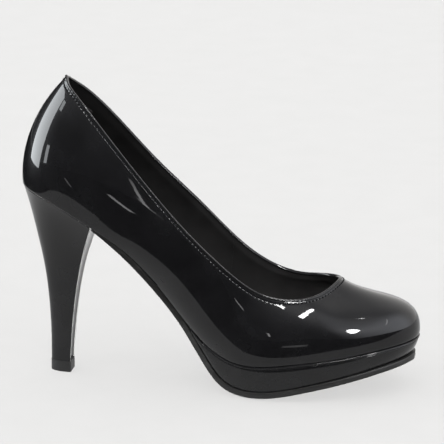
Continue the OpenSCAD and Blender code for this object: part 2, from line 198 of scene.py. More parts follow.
# ---------------------------------------------------------------- the last: plan outline and walls
def outward(q):
    """Level directions that point away from a closed row of points."""
    t = neighbour(q, 1, True) - neighbour(q, -1, True)
    flat = np.stack([t[:, 1], -t[:, 0], 0 * t[:, 0]], 1)
    return flat / np.linalg.norm(t[:, :2], axis=1)[:, None]


LOW = np.array([[x, y, bed_z(x)] for x, y in FEATHER])
TOP = np.array(TOPLINE, float)
SWELLS = np.array([SWELL[min(i, COUNT - i)] for i in range(COUNT)], float)
UP = np.array([0, 0, 1.0])
ROWS = [
    through(LOW, True),
    through(LOW + outward(LOW) * SWELLS[:, 0:1] + UP * SWELLS[:, 1:2], True),
    through(TOP + outward(TOP) * SWELLS[:, 2:3] - UP * SWELLS[:, 3:4], True),
    through(TOP, True)]


def plan(s, d):
    """Lower edge in plan, moved inwards by d."""
    s, d = np.broadcast_arrays(np.asarray(s, float), np.asarray(d, float))
    e = blend(ROWS[0], s, True)
    t = blend(ROWS[0], s + 0.05, True) - blend(ROWS[0], s - 0.05, True)
    n = np.stack([t[..., 1], -t[..., 0]], -1) / np.linalg.norm(t[..., :2], axis=-1)[..., None]
    return e[..., :2] - n * d[..., None]


def wall0(s, t):
    """Point on the upper's outer face, from the lower edge (t = 0) to the topline (t = 1)."""
    s, t = np.broadcast_arrays(np.asarray(s, float), np.asarray(t, float))
    r = [blend(p, s, True) for p in ROWS]
    t = t[..., None]
    v = 1 - t
    return v ** 3 * r[0] + 3 * v * v * t * r[1] + 3 * v * t * t * r[2] + t ** 3 * r[3]


def skive(t):
    """Share of the thickness that is left where the layers are pared towards the topline."""
    return 1 - 0.5 * soft(t, 0.86, 0.99)


def wall(s, t, h):
    """Point at an offset h outwards from the upper's outer face; inner layers thin at the topline."""
    s, t, h = np.broadcast_arrays(np.asarray(s, float), np.asarray(t, float), np.asarray(h, float))
    c = np.cross(wall0(s + 0.04, t) - wall0(s - 0.04, t), wall0(s, t + 0.01) - wall0(s, t - 0.01))
    h = np.where(h < 0, h * skive(t), h)
    return wall0(s, t) + c * (h / np.linalg.norm(c, axis=-1))[..., None]


def at_drop(s, w):
    """Height along the wall that lies w below the topline."""
    return 1 - w / (np.linalg.norm(wall0(s, 1.0) - wall0(s, 0.95), axis=-1) / 0.05)


def stitch_stations(per_stitch):
    """Stations at an even spacing along the stitch line, per_stitch of them to a stitch."""
    samples = 6001
    fine = np.linspace(0, COUNT, samples)
    p = wall(fine, at_drop(fine, STITCH_DROP), 0.0)
    run = np.concatenate([[0], np.cumsum(np.linalg.norm(np.diff(p, axis=0), axis=1))])
    n = int(round(run[-1] / STITCH_PITCH)) * per_stitch
    return np.interp(np.arange(n) * run[-1] / n, run, fine)


# ---------------------------------------------------------------- mesh helpers
def add_mesh(name, points, faces, sharp=35.0):
    """Object from points in millimetres; edges above the sharp angle in degrees stay crisp."""
    mesh = bpy.data.meshes.new(name)
    mesh.from_pydata(((np.asarray(points) - MID) * MM).tolist(), [], faces)
    mesh.update()
    obj = bpy.data.objects.new(name, mesh)
    bpy.context.scene.collection.objects.link(obj)
    return finish_mesh(obj, sharp)


def finish_mesh(obj, sharp=35.0):
    """Merges double points, turns every face outwards and smooths the shading."""
    bm = bmesh.new()
    bm.from_mesh(obj.data)
    bmesh.ops.remove_doubles(bm, verts=bm.verts, dist=1e-6)
    bmesh.ops.dissolve_degenerate(bm, edges=bm.edges, dist=1e-7)
    bmesh.ops.recalc_face_normals(bm, faces=bm.faces)
    if bm.calc_volume(signed=True) < 0:
        bmesh.ops.reverse_faces(bm, faces=bm.faces)
    bm.to_mesh(obj.data)
    bm.free()
    obj.data.shade_smooth()
    obj.data.set_sharp_from_angle(angle=math.radians(sharp))
    return obj


def tube_faces(n, m, ring):
    """Quads of a closed profile of m points swept over n stations."""
    i, j = np.meshgrid(np.arange(n if ring else n - 1), np.arange(m), indexing="ij")
    a, b = i * m + j, i * m + (j + 1) % m
    c, d = ((i + 1) % n) * m + (j + 1) % m, ((i + 1) % n) * m + j
    return np.stack([a, b, c, d], -1).reshape(-1, 4).tolist()


def sweep(name, grid, ring=False, sharp=35.0):
    """Solid from closed profiles grid[station, point]; open sweeps get flat end caps."""
    grid = np.asarray(grid, float)
    n, m = grid.shape[:2]
    faces = tube_faces(n, m, ring)
    if not ring:
        for base, order in ((0, 1), ((n - 1) * m, -1)):
            for j in range(m // 2 - 1):
                quad = [base + j, base + j + 1, base + m - 2 - j, base + m - 1 - j]
                faces.append(quad[::order])
    return add_mesh(name, grid.reshape(-1, 3), faces, sharp)


def dress(obj, slot, material, *nodes):
    """Gives a piece its finish and its body, and hides the CAD nodes it stands for."""
    obj.data.materials.clear()
    obj.data.materials.append(material)
    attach(obj, "root")
    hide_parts(*nodes)
    return obj


def layer(s, heights, outside, inside, edge=0.2):
    """Profiles of a wall layer between two depths, with rounded edges at its top and bottom."""
    s = np.asarray(s, float)[:, None]
    t = np.asarray(heights, float)[None, :]
    middle, half = (outside + inside) / 2, abs(outside - inside) / 2
    size = np.linalg.norm(wall0(s, 0.55) - wall0(s, 0.5), axis=-1) / 0.05
    turn = np.radians(np.array([67.5, 22.5, -22.5, -67.5]))[None, :]
    round_t = edge / size
    top = wall(s, t[:, -1:] + round_t * np.cos(turn), middle + half * np.sin(turn))
    low = wall(s, t[:, :1] - round_t * np.cos(turn), middle - half * np.sin(turn))
    profile = np.concatenate([wall(s, t, outside), top, wall(s, t[:, ::-1], inside), low], 1)
    return np.roll(profile, 2, axis=1)


def ladder(stations, inset, low, top, across, edge, crown=0.0, dome=None):
    """Profiles across the shoe between two heights, with rounded side edges.
    crown bows the underside down and dome(x, w) lifts the top."""
    s = np.asarray(stations, float)[:, None]
    w = np.linspace(-1, 1, across)[None, :]
    rim = np.radians(np.array([75, 45, 15, -15, -45, -75]))[None, :]
    d = inset(s)

    def row(extra, height):
        lateral = plan(s, d + extra)
        medial = plan(COUNT - s, d + extra)
        p = mix(lateral, medial, ((w + 1) / 2)[..., None])
        z = height(p[..., 0])
        if height is low:
            z = z - crown * (1 - np.maximum(0, 2 * np.abs(w) - 1) ** 2) * soft(p[..., 0], 100, 125)
        elif dome:
            z = z + dome(p[..., 0], w)
        return np.concatenate([p, z[..., None]], -1)

    def side(base, turn):
        p = plan(base, d + edge * (1 - np.cos(turn)))
        lo, hi = low(p[..., 0]), top(p[..., 0])
        r = np.minimum(edge, (hi - lo) / 2)
        z = np.where(turn > 0, hi - r * (1 - np.sin(turn)), lo + r * (1 + np.sin(turn)))
        return np.concatenate([p, z[..., None]], -1)

    profile = np.concatenate([row(edge, top), side(COUNT - s, rim), row(edge, low)[:, ::-1],
                              side(s, rim[:, ::-1])], 1)
    return np.roll(profile, 3, axis=1)


def spaced(a, b, n, ends=0.75):
    """Stations from a to b that lie closer together at both ends."""
    u = np.linspace(0, 1, n)
    return a + (b - a) * mix(u, (1 - np.cos(np.pi * u)) / 2, ends)


# ---------------------------------------------------------------- materials
def new_material(name, base, roughness, **inputs):
    """A node material with one Principled shader, whose inputs are named with underscores."""
    mat = bpy.data.materials.new(name)
    mat.use_nodes = True
    shader = mat.node_tree.nodes["Principled BSDF"]
    shader.inputs["Base Color"].default_value = (*base, 1)
    shader.inputs["Roughness"].default_value = roughness
    for key, value in inputs.items():
        shader.inputs[key.replace("_", " ")].default_value = value
    mat.diffuse_color = (*base, 1)
    return mat


def node(mat, kind, links=None, **settings):
    """Adds a node to a material or world, sets its properties or inputs, and links its inputs."""
    n = mat.node_tree.nodes.new(kind)
    for key, value in settings.items():
        if key in n.inputs:
            n.inputs[key].default_value = value
        else:
            setattr(n, key, value)
    for key, socket in (links or {}).items():
        mat.node_tree.links.new(socket, n.inputs[key])
    return n


def wire(mat, socket, target):
    """Links a socket to an input of the material's shader."""
    mat.node_tree.links.new(socket, mat.node_tree.nodes["Principled BSDF"].inputs[target])


def place(mat, scale=(1, 1, 1)):
    """Object coordinates in metres, stretched by scale."""
    tex = node(mat, "ShaderNodeTexCoord")
    return node(mat, "ShaderNodeMapping", {"Vector": tex.outputs["Object"]}, Scale=scale).outputs[0]


def noise(mat, where, scale, detail=3.0, rough=0.5):
    return node(mat, "ShaderNodeTexNoise", {"Vector": where}, Scale=scale, Detail=detail,
                Roughness=rough).outputs["Fac"]


def cells(mat, where, scale):
    return node(mat, "ShaderNodeTexVoronoi", {"Vector": where}, Scale=scale).outputs["Distance"]


def ramp(mat, value, low, high, start=0.3, stop=0.7):
    """Colour between low and high as the value goes from start to stop."""
    n = node(mat, "ShaderNodeValToRGB", {"Fac": value})
    n.color_ramp.elements[0].position, n.color_ramp.elements[1].position = start, stop
    n.color_ramp.elements[0].color, n.color_ramp.elements[1].color = (*low, 1), (*high, 1)
    return n.outputs["Color"]


def levels(mat, value, low, high):
    """Number between low and high as the value goes from 0 to 1."""
    return node(mat, "ShaderNodeMapRange", {"Value": value}, **{"To Min": low, "To Max": high}).outputs[0]


def bump(mat, height, distance, under=None):
    """Surface normal of a relief that is distance metres deep, laid over another relief if given."""
    links = {"Height": height}
    if under:
        links["Normal"] = under
    return node(mat, "ShaderNodeBump", links, Distance=distance, Strength=1.0).outputs["Normal"]


def times(k, colour):
    """Colour made lighter or darker by the factor k."""
    return tuple(k * c for c in colour)


def patent(name, base, rough, wave, wave_size, coat_rough):
    """Lacquered leather: a clear glossy coat, faintly wavy, over dark leather with scattered dust."""
    mat = new_material(name, base, rough, Coat_Weight=1.0, Coat_Roughness=coat_rough, Coat_IOR=1.42,
                       Specular_IOR_Level=0.05)
    where = place(mat)
    slow = noise(mat, where, 1 / wave_size, 3.0, 0.45)
    fine = noise(mat, where, 900, 2.0)
    skin = bump(mat, slow, wave)
    wire(mat, bump(mat, fine, 0.000002, skin), "Normal")
    wire(mat, skin, "Coat Normal")
    wire(mat, ramp(mat, noise(mat, where, 60), base, times(1.7, base)), "Base Color")
    wire(mat, levels(mat, noise(mat, where, 45, 4.0), rough - 0.06, rough + 0.08), "Roughness")
    return mat


def leather(name, base, rough, grain, depth, toe=None):
    """Pebbled leather with creases and uneven wear; toe is a paler colour that it turns to forwards,
    painted light that brightens the shade deep inside under the vamp.
    """
    mat = new_material(name, base, rough, Specular_IOR_Level=0.12)
    where = place(mat)
    pores = cells(mat, where, 1 / grain)
    soft_wave = noise(mat, where, 220, 4.0, 0.6)
    wire(mat, bump(mat, pores, depth, bump(mat, soft_wave, depth * 1.5)), "Normal")
    dye_and_painted_fill = ramp(mat, noise(mat, where, 70, 4.0), base, times(1.8, base))
    # Painted light: the colour turns paler towards the toe to lighten the shade deep under the vamp
    if toe:
        x = node(mat, "ShaderNodeSeparateXYZ", {"Vector": where}).outputs["X"]
        share = node(mat, "ShaderNodeMapRange", {"Value": x}, **{"From Min": 0.0, "From Max": 0.055})
        painted_fill_tone = ramp(mat, noise(mat, where, 90, 4.0), toe, times(1.5, toe))
        mixed = node(mat, "ShaderNodeMixRGB", {"Fac": share.outputs[0], "Color1": dye_and_painted_fill, "Color2": painted_fill_tone})
        dye_and_painted_fill = mixed.outputs[0]
    wire(mat, dye_and_painted_fill, "Base Color")
    wire(mat, levels(mat, noise(mat, where, 110), rough - 0.1, rough + 0.12), "Roughness")
    return mat


def suede(name, base):
    """Short nap, brushed in patches."""
    mat = new_material(name, base, 0.92, Sheen_Weight=0.5, Sheen_Roughness=0.4, Specular_IOR_Level=0.15)
    where = place(mat)
    nap = noise(mat, where, 4200, 3.0, 0.7)
    wire(mat, bump(mat, nap, 0.00012), "Normal")
    wire(mat, ramp(mat, noise(mat, where, 160, 3.0), base, times(2.2, base)), "Base Color")
    return mat


def rubber(name, base, rough, grain, depth):
    """Moulded sole compound: fine matt texture with lighter scuffs."""
    mat = new_material(name, base, rough, Specular_IOR_Level=0.45)
    where = place(mat)
    speck = noise(mat, where, 1 / grain, 4.0, 0.6)
    scuff = noise(mat, place(mat, (30, 260, 260)), 1.0, 5.0, 0.65)
    wire(mat, bump(mat, speck, depth), "Normal")
    wire(mat, ramp(mat, scuff, base, times(2.6, base), 0.52, 0.75), "Base Color")
    wire(mat, levels(mat, speck, rough - 0.08, rough + 0.12), "Roughness")
    return mat


def thread(name, base):
    """Twisted bonded thread."""
    mat = new_material(name, base, 0.65, Specular_IOR_Level=0.08)
    twist = node(mat, "ShaderNodeTexWave", {"Vector": place(mat, (1, 1, 1.6))}, Scale=1500.0,
                 Distortion=2.0, bands_direction="DIAGONAL").outputs["Fac"]
    wire(mat, bump(mat, twist, 0.00006), "Normal")
    wire(mat, ramp(mat, twist, base, times(2.0, base)), "Base Color")
    return mat


def board(name, base):
    """Pressed fibreboard: crossed fibres and flecks."""
    mat = new_material(name, base, 0.85)
    fibre = noise(mat, place(mat, (150, 1200, 600)), 1.0, 5.0, 0.7)
    fleck = noise(mat, place(mat, (900, 200, 600)), 1.0, 4.0, 0.7)
    wire(mat, ramp(mat, fibre, times(0.65, base), base, 0.35, 0.65), "Base Color")
    wire(mat, bump(mat, fleck, 0.0001), "Normal")
    return mat


def foam(name, base, cell, depth):
    """Open cells, slightly uneven in colour."""
    mat = new_material(name, base, 0.95)
    where = place(mat)
    wire(mat, bump(mat, cells(mat, where, 1 / cell), depth), "Normal")
    wire(mat, ramp(mat, noise(mat, where, 90, 4.0), times(0.8, base), base), "Base Color")
    return mat


def cork(name, base):
    """Bonded granules in several browns."""
    mat = new_material(name, base, 0.9)
    grains = node(mat, "ShaderNodeTexVoronoi", {"Vector": place(mat)}, Scale=650.0)
    wire(mat, ramp(mat, grains.outputs["Color"], times(0.45, base), base, 0.2, 0.8), "Base Color")
    wire(mat, bump(mat, grains.outputs["Distance"], 0.0002), "Normal")
    return mat


def woven(name, base):
    """Plain woven tape."""
    mat = new_material(name, base, 0.8, Sheen_Weight=0.2)
    where = place(mat)
    warp, weft = (node(mat, "ShaderNodeTexWave", {"Vector": where}, Scale=700.0,
                       bands_direction=axis).outputs[0] for axis in "XZ")
    both = node(mat, "ShaderNodeMath", {0: warp, 1: weft}, operation="MULTIPLY").outputs[0]
    wire(mat, bump(mat, both, 0.0001), "Normal")
    wire(mat, ramp(mat, both, times(0.7, base), base), "Base Color")
    return mat


def metal(name, base, rough):
    """Drawn steel with fine lengthwise scratches."""
    mat = new_material(name, base, rough, Metallic=1.0)
    scratch = noise(mat, place(mat, (120, 3000, 3000)), 1.0, 3.0)
    wire(mat, levels(mat, scratch, rough - 0.1, rough + 0.15), "Roughness")
    wire(mat, bump(mat, scratch, 0.00001), "Normal")
    return mat


PATENT = patent("black_patent", (0.004, 0.004, 0.0044), 0.34, 0.000025, 0.01, 0.03)
WRAP_PATENT = patent("wrap_patent", (0.0045, 0.0045, 0.0048), 0.36, 0.00005, 0.008, 0.05)
BINDING = patent("binding_patent", (0.005, 0.005, 0.0053), 0.34, 0.00003, 0.003, 0.06)
HEEL_PATENT = patent("heel_patent", (0.0042, 0.0042, 0.0045), 0.36, 0.00004, 0.011, 0.05)
THREAD = thread("black_thread", (0.004, 0.004, 0.0045))
LINING_LEATHER = leather("lining_leather", (0.0054, 0.0052, 0.0052), 0.6, 0.0006, 0.00003)
# The vamp lining's paler toe colour is painted light against the shade deep under the vamp
VAMP_LINING = leather("vamp_lining_leather", (0.0045, 0.0043, 0.0043), 0.66, 0.0006, 0.00003,
                      toe=(0.026, 0.025, 0.025))
SOCK_LEATHER = leather("sock_leather", (0.009, 0.0088, 0.0088), 0.58, 0.0007, 0.00004)
GRIP_SUEDE = suede("grip_suede", (0.012, 0.011, 0.011))
SOLE_RUBBER = rubber("sole_compound", (0.011, 0.0108, 0.0106), 0.36, 0.0006, 0.00004)
TIP_RUBBER = rubber("tip_compound", (0.013, 0.013, 0.013), 0.42, 0.0004, 0.00003)
BOARD_FIBRE = board("insole_fibreboard", (0.42, 0.27, 0.15))
COUNTER_BOARD = board("stiffener_board", (0.5, 0.38, 0.24))
FOAM = foam("cushion_foam", (0.75, 0.7, 0.55), 0.0008, 0.0002)
CORE_FOAM = foam("core_foam", (0.78, 0.76, 0.7), 0.0005, 0.0001)
BLOCK_PLASTIC = foam("heel_block_plastic", (0.8, 0.8, 0.78), 0.0012, 0.00002)
CORK = cork("filler_cork", (0.45, 0.25, 0.11))
TAPE = woven("nylon_tape", (0.8, 0.8, 0.78))
STEEL = metal("steel", (0.55, 0.55, 0.56), 0.32)
PLATED = metal("plated_steel", (0.7, 0.55, 0.25), 0.3)


# ---------------------------------------------------------------- upper and topline
STITCH_RUN = stitch_stations(1)


def foot(s, d, h):
    """Point of the fold under the board: d inside the lower edge and h above it."""
    p = plan(s, d)
    return np.concatenate([p, over_bed(p[..., 0], h)[..., None]], -1)


def corner(a, c, b, n=4):
    """Points that round the corner c between a and b; a list of n grids along the profile."""
    return [mix(mix(a, c, u), mix(c, b, u), u) for u in np.linspace(0, 1, n)]


def hole_at(phase, width):
    """1 at the needle holes and 0 between them; the phase counts stitches."""
    return np.exp(-(np.abs((phase + 0.5) % 1 - 0.5) / width) ** 2)


def pucker(drop, phase):
    """Dip of the upper along the stitch row, deepest at the needle holes."""
    across = np.exp(-((drop - STITCH_DROP) / 0.7) ** 2)
    near = np.exp(-((drop - STITCH_DROP) / 0.36) ** 2)
    return -0.06 * across - 0.7 * hole_at(phase, 0.2) * near


def make_upper():
    """Patent shell with its fold under the board; its rows lie closest along the stitches."""
    s = stitch_stations(PER_STITCH)
    phase = np.arange(len(s)) / PER_STITCH
    far = 99.0
    drops = np.array([8, 6.5, 5.4, 4.6, 4.1, 3.7, 3.4, 3.15, 2.9, 2.65, 2.4, 2.1, 1.7, 1.2, 0.8, 0.5])
    band = at_drop(s[:, None], drops[None, :])
    reach = band[:, 0]
    lower = reach[:, None] * np.linspace(0.03, 0.96, 34)[None, :]
    t = np.concatenate([lower, band], 1)
    drop = np.concatenate([np.full(lower.shape, far), np.broadcast_to(drops, band.shape)], 1)
    outer = wall(s[:, None], t, pucker(drop, phase[:, None]))
    edge = np.stack(corner(foot(s, 1.3, 0), wall(s, 0 * s, 0), wall(s, lower[:, 0], 0), 7)[:-1], 1)
    margin = np.stack([foot(s, d, 0) for d in (MARGIN, 6, 3, 2)], 1)
    inner = wall(s[:, None], t[:, ::-3], -UPPER)
    inner_margin = np.stack([foot(s, d, UPPER) for d in (UPPER, 3, 6, MARGIN)], 1)
    obj = sweep("upper_patent", np.concatenate([margin, edge, outer, inner, inner_margin], 1), ring=True)
    return dress(obj, "patent", PATENT, "upper")


def columns(outline):
    """Drops below the topline and offsets from the upper of an outline's points."""
    return (np.array([p[k] for p in outline])[None, :] for k in (0, 1))


def make_binding():
    """Strip folded over the edge, lapped at the back and pulled in unevenly at the needle holes."""
    s = stitch_stations(PER_STITCH)[:, None]
    phase = np.arange(len(s))[:, None] / PER_STITCH
    hole = hole_at(phase, 0.24) * (1 + 0.4 * np.sin(7.3 * np.round(phase)))
    lining = -LINING_IN
    outline = [
        (1.5, 0.02), (1.5, 0.22), (1.32, 0.36), (1.0, 0.42), (0.65, 0.42), (0.35, 0.33), (0.14, 0.1),
        (0.04, -0.5), (0.02, -1.3), (0.05, -2.1), (0.12, lining - 0.2), (0.3, lining - 0.42),
        (0.52, lining - 0.5), (0.8, lining - 0.5), (1.05, lining - 0.42), (1.15, lining - 0.25),
        (1.05, lining - 0.08), (0.9, lining - 0.06), (0.75, lining - 0.06), (0.62, lining - 0.05),
        (0.5, -2.2), (0.48, -1.2), (0.5, -0.4), (0.62, 0.02)]
    drop, depth = columns(outline)
    lap = 0.3 * np.exp(-((s + 0.05 - COUNT * (s > COUNT / 2)) / 0.07) ** 4) * (depth > 0)
    pulled = -0.13 * hole * np.clip((drop - 0.3) / 0.8, 0, 1) * (depth > 0.1)
    grid = wall(s, at_drop(s, drop), depth + lap + pulled)
    obj = sweep("topline_binding_strip", grid, ring=True, sharp=60)
    return dress(obj, "binding", BINDING, "topline_binding")


def make_stitches():
    """One thread loop from needle hole to needle hole, slightly slanted."""
    n = len(STITCH_RUN)
    ends = np.append(STITCH_RUN, COUNT)
    shares = [0.17, 0.22, 0.34, 0.5, 0.66, 0.78, 0.83]
    u = np.array(shares)[None, :]
    s = mix(ends[:-1, None], ends[1:, None], u)
    drop = STITCH_DROP + 0.3 * (u - 0.5)
    height = np.interp(u, shares, [-0.5, -0.15, 0.1, 0.15, 0.1, -0.15, -0.5])
    radius = np.interp(u, [0.17, 0.3, 0.5, 0.7, 0.83], [0.2, 0.27, 0.3, 0.27, 0.2])
    t = at_drop(s, drop)
    centre = wall(s, t, 0.0)
    normal = wall(s, t, 1.0) - centre
    centre = centre + normal * height[..., None]
    along = np.gradient(centre, axis=1)
    along /= np.linalg.norm(along, axis=-1, keepdims=True)
    side = np.cross(along, normal)
    turn = np.radians(np.arange(0, 360, 45))
    ring = (centre[:, :, None] + radius[..., None, None] * (np.cos(turn)[:, None] * normal[:, :, None]
            + np.sin(turn)[:, None] * side[:, :, None]))
    rows, m = u.shape[1], len(turn)
    one = tube_faces(rows, m, False) + [list(range(m)), list(range(rows * m - m, rows * m))]
    faces = [[k * rows * m + v for v in f] for k in range(n) for f in one]
    obj = add_mesh("topline_stitches", ring.reshape(-1, 3), faces, 80)
    return dress(obj, "thread", THREAD, "topline_stitching")


def make_tape():
    """Flat tape between upper and lining, under the binding."""
    s = np.linspace(0, COUNT, 361)[:-1, None]
    drop, depth = columns([(1.1, -1.32), (1.0, -1.45), (1.1, -1.58), (3.5, -1.6),
                           (5.9, -1.58), (6.0, -1.45), (5.9, -1.32), (3.5, -1.3)])
    obj = sweep("topline_stay_tape", wall(s, at_drop(s, drop), depth), ring=True)
    return dress(obj, "tape", TAPE, "topline_tape")


# ---------------------------------------------------------------- linings and stiffeners
def make_layer(name, slot, material, cad_node, stations, heights, outside, inside):
    """One piece of the wall between two offsets."""
    obj = sweep(name, layer(stations, heights, outside, inside))
    return dress(obj, slot, material, cad_node)


def make_linings():
    """Two linings that meet at the sides, the grip inside the heel and the two stiffeners."""
    full = np.concatenate([np.linspace(0.14, 0.84, 22), np.linspace(0.865, 0.985, 9)])
    make_layer("vamp_lining_skin", "lining", VAMP_LINING, "vamp_lining",
               spaced(6.001, COUNT - 6.001, 260, 0.3), full, -LINING_OUT, -LINING_IN)
    make_layer("quarter_lining_skin", "lining", LINING_LEATHER, "quarter_lining",
               spaced(-5.999, 5.999, 260, 0.3), full, -LINING_OUT, -LINING_IN)
    make_layer("heel_grip_pad", "suede", GRIP_SUEDE, "heel_grip",
               spaced(-2.2, 2.2, 90), np.linspace(0.2, 0.84, 30), -LINING_IN - 0.05, -LINING_IN - 0.5)
    make_layer("heel_counter_board", "board", COUNTER_BOARD, "heel_counter",
               spaced(-3.4, 3.4, 120), np.linspace(0.14, 0.82, 30), STIFFENER_OUT, STIFFENER_IN)
    make_layer("toe_puff_board", "board", COUNTER_BOARD, "toe_puff",
               spaced(9.2, 14.8, 120), np.linspace(0.14, 0.62, 24), STIFFENER_OUT, STIFFENER_IN)


# ---------------------------------------------------------------- footbed
def sock_inset(s):
    """Edge of the sock liner inside the lower edge; it follows the lining, which leans outwards."""
    return LINING_IN + 0.35 - 0.3 * by_station([w[0] for w in SWELL], s)


def sock_dome(x, w):
    """Soft rise of the sock over the two cushions, with a shallow valley at its edge."""
    heel = soft(x, 2, 16) * (1 - soft(x, 40, 56))
    ball = soft(x, 112, 135) * (1 - soft(x, 180, 205))
    return 0.5 * (heel + ball) * (1 - np.abs(w) ** 3) - 0.2 * np.abs(w) ** 6


def make_sock():
    """Full-length sock liner over the cushions."""
    grid = ladder(spaced(0.02, 11.98, 320), sock_inset, bed_line(SOCK_LOW), bed_line(SOCK_LOW + SOCK),
                  31, 0.4, dome=sock_dome)
    return dress(sweep("sock_liner_skin", grid, sharp=60), "sock", SOCK_LEATHER, "sock_liner")


def make_cushion(name, cad_node, start, stop):
    """Crowned foam pad that thins towards its edges."""
    stations = spaced(start, stop, 90)
    ends = plan(np.array([start, stop]), CUSHION_INSET)[:, 0]

    def thin(x):
        return np.minimum(soft(x, ends[0] - 0.5, ends[0] + 7), 1 - soft(x, ends[1] - 7, ends[1] + 0.5))

    def top(x):
        return over_bed(x, BOARD_TOP + GAP + CUSHION * (0.3 + 0.4 * thin(x)))

    def dome(x, w):
        return 0.3 * CUSHION * thin(x) * (1 - w ** 4)

    grid = ladder(stations, steady(CUSHION_INSET), bed_line(BOARD_TOP + GAP), top, 19, 0.7, dome=dome)
    obj = dress(sweep(name, grid, sharp=60), "foam", FOAM, cad_node)
    return obj


def make_filler():
    """Cork that fills the hollow inside the upper's fold at the ball."""
    grid = ladder(spaced(7, 11.7, 80), steady(MARGIN + 0.5), bed_line(0.05), bed_line(UPPER), 15, 0.4)
    return dress(sweep("bottom_filler_cork", grid), "filler", CORK, "bottom_filler")


# ---------------------------------------------------------------- rand, platform and outsole
def ledge(s, d, h):
    """Point d inside the lower edge and h below the upper; h may depend on x."""
    p = plan(s, d)
    depth = h(p[..., 0]) if callable(h) else h
    return np.concatenate([p, over_bed(p[..., 0], -depth)[..., None]], -1)


def make_rand():
    """Thin bead between upper and platform."""
    s = spaced(5.9, COUNT - 5.9, 520, 0.3)
    outline = [(8, 0), (0.9, 0), (0.4, 0.04), (0.05, 0.16), (-0.15, 0.38),
               (-0.15, 0.62), (0.05, 0.84), (0.4, 0.96), (0.9, 1), (8, 1)]
    rows = [ledge(s, d, lambda x, k=k: 0.1 + k * (rand_at(x) - 0.05)) for d, k in outline]
    obj = sweep("platform_rand_bead", np.stack(rows, 1), sharp=50)
    return dress(obj, "patent", WRAP_PATENT, "platform_rand")


def wrap_path(s, c):
    """Path of the platform wrap from its bottom turn-in round the side to its top turn-in."""
    foot_in = by_station(FOOT_INSET, s)
    p = plan(s, 0.0)
    out = p - plan(s, 1.0)

    def lo(d):
        q = plan(s, foot_in + c + d)
        return np.concatenate([q, over_tread(q[:, 0], OUTSOLE + GAP + c)[:, None]], -1)

    def hi(d):
        q = plan(s, 0.3 + c + d)
        return np.concatenate([q, over_bed(q[:, 0], -rand_at(q[:, 0]) - 0.15 - c)[:, None]], -1)

    def side(u):
        flat = np.concatenate([out, 0 * out[:, :1]], -1)
        return mix(lo(0), hi(0), u) + flat * 0.5 * math.sin(math.pi * u)

    turn = 0.05
    return ([lo(7), lo(3), lo(1.4)] + corner(lo(0.6), lo(0), side(turn), 4)
            + [side(u) for u in np.linspace(0.2, 0.8, 9)]
            + corner(side(1 - turn), hi(0), hi(0.6), 4) + [hi(1.4), hi(3), hi(6.7)])


def make_platform_cover():
    """Patent wrap round the side of the platform, turned in above and below."""
    s = spaced(5.5, COUNT - 5.5, 520, 0.3)
    path = wrap_path(s, 0.0) + wrap_path(s, WRAP)[::-1]
    obj = sweep("platform_cover_wrap", np.stack(path, 1), sharp=60)
    return dress(obj, "patent", WRAP_PATENT, "platform_cover")


def make_outsole():
    """Sole from the breast of the heel to the toe; it thins out where it meets the upper."""
    grid = ladder(spaced(3.06, 11.985, 420, 0.4), lambda s: by_station(SOLE_INSET, s), tread_z,
                  lambda x: np.minimum(over_bed(x, -0.3), over_tread(x, OUTSOLE)), 25, 0.35, crown=CROWN)
    return dress(sweep("outsole_unit", grid, sharp=50), "sole", SOLE_RUBBER, "outsole")


# ---------------------------------------------------------------- heel
HEEL_B = through(HEEL_BACK, False)
HEEL_F = through(HEEL_FRONT, False)
HEEL_H = through(HEEL_HALF, False)


def heel_value(p, z):
    """Value of one of the heel's profiles at height z."""
    return blend(p, (np.asarray(z, float) + 20) / 20, False)


def d_shape(u, z, c):
    """Half-oval section of the heel at height z, with its flat side at the breast."""
    front = heel_value(HEEL_F, z)
    x = front - (front - heel_value(HEEL_B, z) - c) * np.cos(np.pi / 2 * u)
    y = (heel_value(HEEL_H, z) - c) * np.sin(np.pi / 2 * u)
    return np.stack(np.broadcast_arrays(x, y), -1)


def heel_pt(u, v, c):
    """Heel surface: u from -1 (lateral corner) round the back to 1, v from seat to tip, inset c."""
    u, v = np.broadcast_arrays(np.asarray(u, float), np.asarray(v, float))
    p = plan((-u * SEAT_END) % COUNT, c + COVER_TUCK)
    seat = over_bed(p[..., 0], -SEAT_GAP)
    z = mix(seat, TIP + GAP, v)
    share = (np.maximum(0, 1 - v / SEAT_BLEND) ** 2)[..., None]
    flat = d_shape(u, z, c) + (p - d_shape(u, seat, c)) * share
    return np.concatenate([flat, z[..., None]], -1)


def breast_pt(w, v, c, e):
    """Breast of the heel: w from -1 (lateral) to 1 (medial), hollowed between its edges."""
    a, b = heel_pt(-1, v, e), heel_pt(1, v, e)
    p = mix(a, b, (w + 1) / 2)
    p[..., 0] -= c + BREAST_HOLLOW * (1 - w * w)
    return p


def make_heel_cover():
    """Patent covering round the back and sides of the heel, turned onto the breast."""
    v = np.concatenate([np.linspace(0, 0.3, 34)[:-1], np.linspace(0.3, 1, 46)])
    bunch = 0.96    # how much the columns gather towards the two corners
    turns = np.sin(np.linspace(-1, 1, 73) * np.pi / 2 * bunch) / math.sin(np.pi / 2 * bunch)
    path = []
    for c in (0.0, HEEL_SKIN):
        lateral = [breast_pt(w, v, c, 0) for w in (-0.55, -0.65, -0.78, -0.88)]
        medial = [breast_pt(w, v, c, 0) for w in (0.88, 0.78, 0.65, 0.55)]
        shift = np.array([c, 0, 0])
        first, last = heel_pt(-1, v, c) - shift, heel_pt(1, v, c) - shift
        skin = [heel_pt(u, v, c) for u in turns[1:-1]]
        row = (lateral + corner(breast_pt(-0.94, v, c, 0), first, skin[0], 4) + skin[1:-1]
               + corner(skin[-1], last, breast_pt(0.94, v, c, 0), 4) + medial)
        path.append(row)
    grid = np.stack(path[0] + path[1][::-1], 1)
    return dress(sweep("heel_cover_skin", grid, sharp=50), "patent", HEEL_PATENT, "heel_cover")


